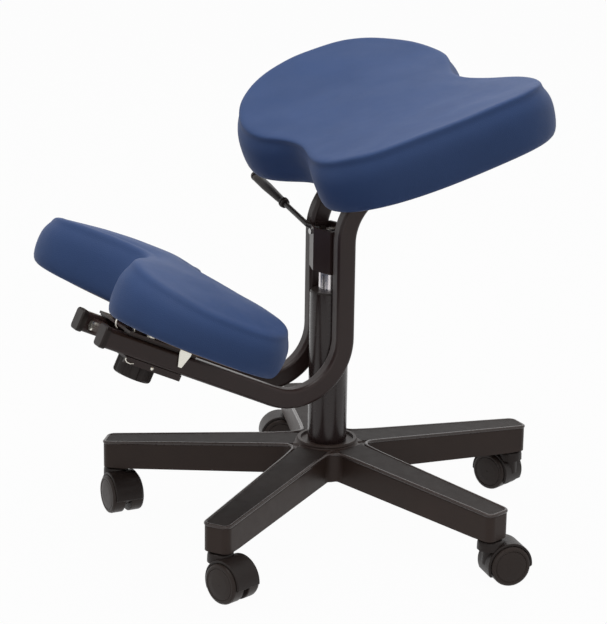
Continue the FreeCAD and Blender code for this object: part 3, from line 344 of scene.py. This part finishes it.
def cushion_mesh(form, count=320, top_rings=14):
    outline = form.outline(count)
    normals = inward_normals(outline)

    def ring(inset, share, extra=0.0):
        points = []
        inset = softened(inset, share, form.softness)
        for spot, normal in zip(outline, normals):
            at = spot + normal * inset
            if spot.y < 0:
                at.y += form.front_shift(at.x, share)
            low, high = form.heights(at.x)
            height = low + (high - low) * share + extra + share * uneven(at.x, at.y, share)
            points.append(form.space(at.x, form.centre + at.y, height))
        return points

    rings = [ring(BOARD_INSET, 0, BOARD_DEPTH), ring(BOARD_INSET, 0)]
    rings += [ring(inset, 0) for inset in UNDERSIDE_INSETS]
    rings += [ring(inset, share) for inset, share in SIDE_PROFILE]
    rim = [spot + normal * SIDE_PROFILE[-1][0] for spot, normal in zip(outline, normals)]
    for spot in rim:
        if spot.y < 0:
            spot.y += form.front_shift(spot.x, 1)
    for k in range(1, top_rings + 1):
        out = 1 - k / (top_rings + 0.6)
        points = []
        for spot in rim:
            x = spot.x * (out + (1 - out) * SPINE_SHARE)
            y = spot.y * out
            low, high = form.heights(x)
            points.append(form.space(x, form.centre + y, high + uneven(x, y) + form.crown * (1 - out ** 2)))
        rings.append(points)
    bm = bmesh.new()
    rows = bridge_rings(bm, rings)
    bmesh.ops.contextual_create(bm, geom=rows[0])
    last = rows[-1]
    for i in range(count // 2 - 1):
        bm.faces.new((last[i], last[i + 1], last[count - 1 - i - 1], last[count - 1 - i]))
    return bm


SEAT = Cushion(half_wide=241, longs=(188, 149.5), squareness=2.55, centre=120, notches=(48.6, 47.8),
               notch_wide=72, low=18.5, thick=66, dish=27, flat=40, fall=8, crown=5, softness=0.15,
              notch_ease=0.4, space=seat_space)
KNEE = Cushion(half_wide=232, longs=(127, 130), squareness=2.6, centre=288.2, notches=(81, 81),
               notch_wide=81, low=33.7, thick=76, dish=4.4, flat=40, fall=-28, crown=6, softness=0.35,
              notch_ease=0, space=arm_space)


def make_cushion(name, form, body):
    piece = new_piece(name + "_cover", cushion_mesh(form), "blue_vinyl", body, 60)
    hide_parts(name + "_cushion")
    return piece


# Base: a raised lip along every top edge, lighter as a painted highlight, a thin dark strip of painted
# shade inside it, and a web between neighbouring arms

ARM_COUNT = 5
FIRST_ARM = math.radians(18.7)
ARM_START, ARM_END, ARM_SLOPE_START, ARM_SLOPE_END = 25, 294, 15, 295
ARM_HALF = (24.5, 17.5)
ARM_TOP = (112, 93)
TIP_ROUND, HUB_EDGE = 9, 40
WEB_LOW, WEB_SUNK, WEB_IN, WEB_ROUND, WEB_STEPS = 72, 1.5, 36, 16, 9
LIP_BEAD, LIP_INSET, LIP_START = 2.3, 1.2, 75
LIP_SUNK_AT_HUB = 1.0
# The dark strip is painted shade for a sunk top; it is a thin box over each arm's top, not a recess
PANEL_START, PANEL_INSET, PANEL_ROUND = 41, 3.0, 6
PANEL_END = ARM_END - 3.4
PANEL_HEIGHTS = (-0.4, 0.2)  # below and above the arm's own top


def arm_half_at(out):
    share = (out - ARM_START) / (ARM_END - ARM_START)
    return ARM_HALF[0] + (ARM_HALF[1] - ARM_HALF[0]) * share


def arm_top_at(out):
    share = (out - ARM_SLOPE_START) / (ARM_SLOPE_END - ARM_SLOPE_START)
    return ARM_TOP[0] + (ARM_TOP[1] - ARM_TOP[0]) * share


def arm_spot(index, out, across, height):
    angle = FIRST_ARM + 2 * math.pi / ARM_COUNT * index
    return Vector((out * math.cos(angle) - across * math.sin(angle),
                   out * math.sin(angle) + across * math.cos(angle), height)) * MM


def curve_tube(name, points, radius, closed, material, body):
    """A round bead along points given in metres."""
    curve = bpy.data.curves.new(name, "CURVE")
    curve.dimensions = "3D"
    curve.bevel_depth = radius * MM
    curve.bevel_resolution = 3
    curve.use_fill_caps = not closed
    spline = curve.splines.new("POLY")
    spline.points.add(len(points) - 1)
    for place, spot in zip(spline.points, points):
        place.co = (*spot, 1)
    spline.use_cyclic_u = closed
    piece = bpy.data.objects.new(name, curve)
    scene.collection.objects.link(piece)
    curve.materials.append(MATERIALS[material])
    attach(piece, body)
    return piece


def web_arc(index):
    """The concave fillet between one arm and the next, from the first arm's side to the next one's."""
    half_turn = math.pi / ARM_COUNT
    taper = math.atan2(ARM_HALF[0] - ARM_HALF[1], ARM_END - ARM_START)
    open_half = half_turn + taper
    corner = arm_half_at(HUB_EDGE) / math.sin(half_turn)
    centre = corner + WEB_ROUND / math.sin(open_half)
    middle = FIRST_ARM + 2 * math.pi / ARM_COUNT * (index + 0.5)
    points = []
    for i in range(WEB_STEPS):
        turn = math.pi + (i / (WEB_STEPS - 1) * 2 - 1) * (open_half - math.pi / 2)
        x, y = centre + WEB_ROUND * math.cos(turn), WEB_ROUND * math.sin(turn)
        points.append((x * math.cos(middle) - y * math.sin(middle),
                       x * math.sin(middle) + y * math.cos(middle)))
    return points


def top_height(x, y):
    """Height of the arms' top at a spot near the hub."""
    angle = math.atan2(y, x) - FIRST_ARM
    step = 2 * math.pi / ARM_COUNT
    off = (angle + step / 2) % step - step / 2
    return arm_top_at(math.hypot(x, y) * math.cos(off))


def base_lip():
    """One closed bead along the arms' top edges, round their tips and through the webs; its lighter colour
    is a painted highlight.
    """
    far, corner, bend = ARM_END - TIP_ROUND, TIP_ROUND, TIP_ROUND - LIP_INSET
    edge = []
    for out in (LIP_START, far):
        edge.append((out, -(arm_half_at(out) - LIP_INSET)))
    for side in (-1, 1):
        for k in range(1, 6):
            turn = math.pi / 2 * k / 6
            turn = turn if side < 0 else math.pi / 2 - turn
            across = arm_half_at(far) - corner + bend * math.cos(turn)
            edge.append((far + bend * math.sin(turn), side * across))
    for out in (far, LIP_START):
        edge.append((out, arm_half_at(out) - LIP_INSET))
    points = []
    for index in range(ARM_COUNT):
        points += [Vector((x, y, top_height(x, y) - LIP_SUNK_AT_HUB)) * MM for x, y in web_arc(index - 1)]
        points += [arm_spot(index, out, across, arm_top_at(out) - LIP_INSET) for out, across in edge]
    return curve_tube("base_lip", points, LIP_BEAD, True, "base_bead_painted_highlight", "base")


def base_webs():
    """Walls that round off the corners between the arms."""
    for index in range(ARM_COUNT):
        arc = web_arc(index)
        middle = FIRST_ARM + 2 * math.pi / ARM_COUNT * (index + 0.5)
        hub = (WEB_IN * math.cos(middle), WEB_IN * math.sin(middle))
        bm = bmesh.new()
        high = top_height(*arc[WEB_STEPS // 2]) - WEB_SUNK
        rings = [[Vector((x, y, height)) * MM for x, y in arc + [hub]] for height in (WEB_LOW, high)]
        rows = bridge_rings(bm, rings)
        for row in rows:
            bm.faces.new(row)
        new_piece("base_web_%d" % (index + 1), bm, "base_plastic", "base", 40)


def base_shade_strips():
    """A thin dark strip along each arm's top, inside its lip: painted shade standing in for a slightly sunk
    top.
    """
    start_half, end_half = (arm_half_at(out) - PANEL_INSET for out in (PANEL_START, PANEL_END))
    end = [(PANEL_END - PANEL_ROUND + PANEL_ROUND * math.sin(turn),
            end_half - PANEL_ROUND + PANEL_ROUND * math.cos(turn))
           for turn in [math.pi / 12 * k for k in range(7)]]
    spots = [(PANEL_START, -start_half), (PANEL_START, start_half)] + end
    spots += [(out, -across) for out, across in reversed(end)]
    for index in range(ARM_COUNT):
        rings = [[arm_spot(index, out, across, arm_top_at(out) + height) for out, across in spots]
                 for height in PANEL_HEIGHTS]
        bm = bmesh.new()
        for row in bridge_rings(bm, rings):
            bm.faces.new(row)
        new_piece("base_panel_%d" % (index + 1), bm, "base_painted_shade", "base", 30)


# Casters: a domed collar over each hood

def lathe(name, profile, place, material, body, axis=None, count=40):
    """Turns (radius, height) in millimetres about an axis through a place in metres."""
    bm = bmesh.new()
    turn_to = Vector((0, 0, 1)).rotation_difference(axis).to_matrix() if axis else Matrix.Identity(3)
    rings = [[Vector(place) + turn_to @ (Vector((radius * math.cos(2 * math.pi * i / count),
                                                 radius * math.sin(2 * math.pi * i / count), height)) * MM)
              for i in range(count)] for radius, height in profile]
    bridge_rings(bm, rings)
    bmesh.ops.remove_doubles(bm, verts=bm.verts, dist=1e-6)
    return new_piece(name, bm, material, body, 35)


CASTER_CIRCLE = 280
COLLAR_PROFILE = ((6.5, 56.3), (13.2, 56.3), (14.6, 55.8), (15.6, 54.4), (16.2, 51), (16.4, 44), (12, 43.8))


def caster_collars():
    for index in range(ARM_COUNT):
        lathe("caster_collar_%d" % (index + 1), COLLAR_PROFILE, arm_spot(index, CASTER_CIRCLE, 0, 0),
              "black_plastic", "caster_%d" % (index + 1))


# Small parts round the lever and the carriage

LEVER_FRONT, LEVER_REACH, LEVER_SLOPE = 17, 190, math.radians(11.2)
LEVER_LOW, LEVER_INNER, GRIP_LONG = 385, 30, 88
GRIP_COLLAR = ((3.6, 0), (6.4, 0.2), (6.9, 1.2), (6.9, 3.4), (5.6, 4), (5.6, 5), (6.2, 5.4), (6.2, 7.2),
               (5.2, 8), (3.6, 8.2))
GRIP_TIP = ((0.01, 1.2), (2.2, 1.4), (3.4, 0.4), (4.6, -0.4), (5.6, 0.3), (6.2, 2), (6.4, 5), (4, 6))
TIP_PROUD = 1.2

# Across, along and square to the arms
HOOK_X, HOOKS_ALONG, HOOK_UP, HOOK_WIDE, HOOK_TALL, HOOK_WIRE = 40, (342, 316), 24.3, 5, 9, 0.9
BENT_WIRE = ((319, -14.5), (319, -17), (316, -19), (311, -19.5), (307, -18))
BENT_WIRE_X, BENT_WIRE_HALF = 46.6, 0.8
RIVET_PLACE = (46, 281, -16.8)
RIVET_PROFILE = ((2.2, -0.2), (2.1, 0.5), (1.4, 1.0), (0.01, 1.15))


def lever_spot(x):
    return Vector((-x, -LEVER_FRONT, LEVER_LOW + x * math.tan(LEVER_SLOPE))) * MM


def grip_details():
    """A ribbed collar where the rod enters the grip, and a rounded end with a dimple."""
    outer, inner = lever_spot(LEVER_REACH), lever_spot(LEVER_INNER)
    along = (inner - outer).normalized()
    rings = (("grip_collar", GRIP_COLLAR, GRIP_LONG), ("grip_tip", GRIP_TIP, -TIP_PROUD))
    for name, profile, offset in rings:
        place = outer + along * (offset * MM)
        lathe(name, profile, place, "black_plastic", "lever", along)


def carriage_details():
    """Bright wire hooks under the pad, a bent wire end and a rivet on the clamp plate."""
    half_circle = [math.pi * (i / 10 - 0.5) for i in range(11)]
    for k, at in enumerate(HOOKS_ALONG):
        points = [arm_space(HOOK_X, at + HOOK_WIDE * math.cos(turn), HOOK_UP + HOOK_TALL * math.sin(turn))
                  for turn in half_circle]
        curve_tube("pad_hook_%d" % (k + 1), points, HOOK_WIRE, False, "zinc", "knee_carriage")
    points = [arm_space(BENT_WIRE_X, at, up) for at, up in BENT_WIRE]
    curve_tube("clamp_wire", points, BENT_WIRE_HALF, False, "zinc", "clamp")
    lathe("clamp_rivet", RIVET_PROFILE, arm_space(*RIVET_PLACE), "zinc", "clamp", Vector((1, 0, 0)))


# Studio

WORLD_FILL, FLOOR_WHITENESS, FLOOR_GREY, FLOOR_HALF = 0.3, 0.97, 0.5, 6
LIGHTS = (  # name, place and aim in metres, size in metres, power in watts
    ("key", (0.1, -0.4, 3.2), (0, -0.05, 0.3), (2.4, 2.4), 54),
    ("fill", (3.0, -1.2, 1.0), (0, 0, 0.3), (0.8, 1.8), 5),
    ("back", (-2.2, 2.0, 2.2), (0, 0, 0.35), (1.8, 1.8), 10),
)


def aim(thing, spot):
    direction = Vector(spot) - thing.location
    thing.rotation_mode = "QUATERNION"
    thing.rotation_quaternion = direction.to_track_quat("-Z", "Y")


def area_light(name, place, spot, size, power):
    light = bpy.data.lights.new(name, "AREA")
    light.shape = "RECTANGLE"
    light.size, light.size_y = size
    light.energy = power
    thing = bpy.data.objects.new(name, light)
    scene.collection.objects.link(thing)
    thing.location = place
    aim(thing, spot)


def camera_like_photo():
    """Angles, distances in millimetres and a focal length in pixels, fitted to the photograph."""
    azimuth, elevation, roll = math.radians(63.67), math.radians(15.95), math.radians(0.82)
    distance, slide, height = 2794.98, -32.56, 281.89
    focal, photo_tall = 2200, 624
    right = Vector((math.cos(azimuth), math.sin(azimuth), 0))
    back = Vector((math.sin(azimuth) * math.cos(elevation), -math.cos(azimuth) * math.cos(elevation),
                   math.sin(elevation)))
    up = back.cross(right)
    turned_right = right * math.cos(roll) + up * math.sin(roll)
    turned_up = up * math.cos(roll) - right * math.sin(roll)
    camera = bpy.data.cameras.new("camera")
    thing = bpy.data.objects.new("camera", camera)
    scene.collection.objects.link(thing)
    camera.lens = focal / photo_tall * camera.sensor_width
    camera.clip_start, camera.clip_end = 0.05, 50
    place = (right * slide + Vector((0, 0, height)) + back * distance) * MM
    matrix = Matrix((turned_right, turned_up, back)).transposed().to_4x4()
    thing.matrix_world = Matrix.Translation(place) @ matrix
    scene.camera = thing


def seen_directly(tree):
    """A factor of 1 for what the camera, a reflection or glass sees."""
    path = tree.nodes.new("ShaderNodeLightPath")
    seen = path.outputs["Is Camera Ray"]
    for kind in ("Is Transmission Ray", "Is Glossy Ray"):
        either = tree.nodes.new("ShaderNodeMath")
        either.operation = "MAXIMUM"
        tree.links.new(seen, either.inputs[0])
        tree.links.new(path.outputs[kind], either.inputs[1])
        seen = either.outputs[0]
    return seen


def make_world():
    world = bpy.data.worlds.new("studio")
    scene.world = world
    world.use_nodes = True
    tree = world.node_tree
    fill = tree.nodes["Background"]
    fill.inputs["Color"].default_value = (1, 1, 1, 1)
    fill.inputs["Strength"].default_value = WORLD_FILL
    backdrop = tree.nodes.new("ShaderNodeBackground")
    backdrop.inputs["Color"].default_value = (1, 1, 1, 1)
    backdrop.inputs["Strength"].default_value = 1.0
    mix = tree.nodes.new("ShaderNodeMixShader")
    tree.links.new(seen_directly(tree), mix.inputs[0])
    tree.links.new(fill.outputs[0], mix.inputs[1])
    tree.links.new(backdrop.outputs[0], mix.inputs[2])
    tree.links.new(mix.outputs[0], tree.nodes["World Output"].inputs["Surface"])


def make_floor():
    bm = bmesh.new()
    bmesh.ops.create_grid(bm, x_segments=1, y_segments=1, size=FLOOR_HALF)
    mesh = bpy.data.meshes.new("floor")
    bm.to_mesh(mesh)
    bm.free()
    floor = bpy.data.objects.new("floor", mesh)
    scene.collection.objects.link(floor)
    material = bpy.data.materials.new("floor_white")
    material.use_nodes = True
    shader = material.node_tree.nodes["Principled BSDF"]
    shader.inputs["Base Color"].default_value = (FLOOR_GREY, FLOOR_GREY, FLOOR_GREY, 1)
    shader.inputs["Roughness"].default_value = 0.9
    shader.inputs["Specular IOR Level"].default_value = 0.0
    tree = material.node_tree
    glow = tree.nodes.new("ShaderNodeEmission")
    share = tree.nodes.new("ShaderNodeMath")
    share.operation = "MULTIPLY"
    share.inputs[1].default_value = FLOOR_WHITENESS
    tree.links.new(seen_directly(tree), share.inputs[0])
    mix = tree.nodes.new("ShaderNodeMixShader")
    tree.links.new(share.outputs[0], mix.inputs[0])
    tree.links.new(shader.outputs[0], mix.inputs[1])
    tree.links.new(glow.outputs[0], mix.inputs[2])
    tree.links.new(mix.outputs[0], tree.nodes["Material Output"].inputs["Surface"])
    mesh.materials.append(material)


def make_studio():
    scene.view_settings.view_transform = "Standard"
    make_world()
    make_floor()
    for light in LIGHTS:
        area_light(*light)


dress_nodes()
make_cushion("seat", SEAT, "frame")
make_cushion("knee", KNEE, "knee_carriage")
base_lip()
base_webs()
base_shade_strips()
caster_collars()
grip_details()
carriage_details()
make_studio()
camera_like_photo()
